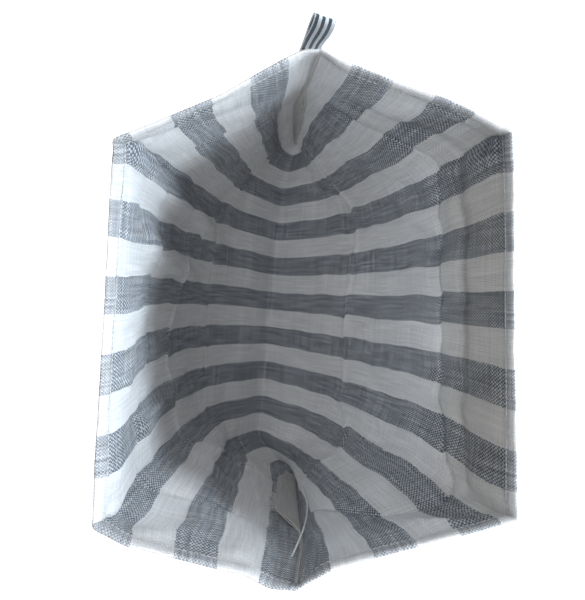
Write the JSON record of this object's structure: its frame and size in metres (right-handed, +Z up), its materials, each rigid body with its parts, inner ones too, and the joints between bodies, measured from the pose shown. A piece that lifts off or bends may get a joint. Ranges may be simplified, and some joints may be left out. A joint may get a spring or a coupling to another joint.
{
  "type": "mail sack",
  "caption": "Open striped cloth sack with a folded bottom, two side seams, a turned hem round the mouth and a ribbon hanging loop.",
  "frame": {"origin": "on the floor under the middle of the standing sack, at the bottom centre of its bounding box", "axes": "+Z up through the mouth, Y along the bottom fold with the hanging loop at +Y, X across the two walls"},
  "size_m": [0.2128, 0.39, 0.5024],
  "materials": {
    "striped_cloth": "plain weave cotton, blue-grey and off-white stripes",
    "hem_cloth": "turned double hem of the same cloth",
    "seam_cloth": "raw seam margins, slightly frayed",
    "white_thread": "white cotton sewing thread",
    "striped_ribbon": "narrow woven ribbon, pale blue-white with navy stripes"
  },
  "bodies": {
    "sack": {"left_panel": "striped_cloth", "right_panel": "striped_cloth", "left_hem": "hem_cloth", "right_hem": "hem_cloth", "loop_side_margin": "seam_cloth", "far_side_margin": "seam_cloth", "hem_thread": "white_thread", "loop_side_seam_thread": "white_thread", "far_side_seam_thread": "white_thread", "loop_tack_thread": "white_thread", "loose_thread": "white_thread", "loop_sewn_ends": "striped_ribbon"},
    "loop": {"hanging_loop": "striped_ribbon"}
  },
  "joints": [
    {"name": "loop_flop", "type": "hinge", "parent": "sack", "child": "loop", "pos_m": [0, 0.1246, 0.4735], "axis": [1, 0, 0], "range_deg": [-150, 90]}
  ]
}
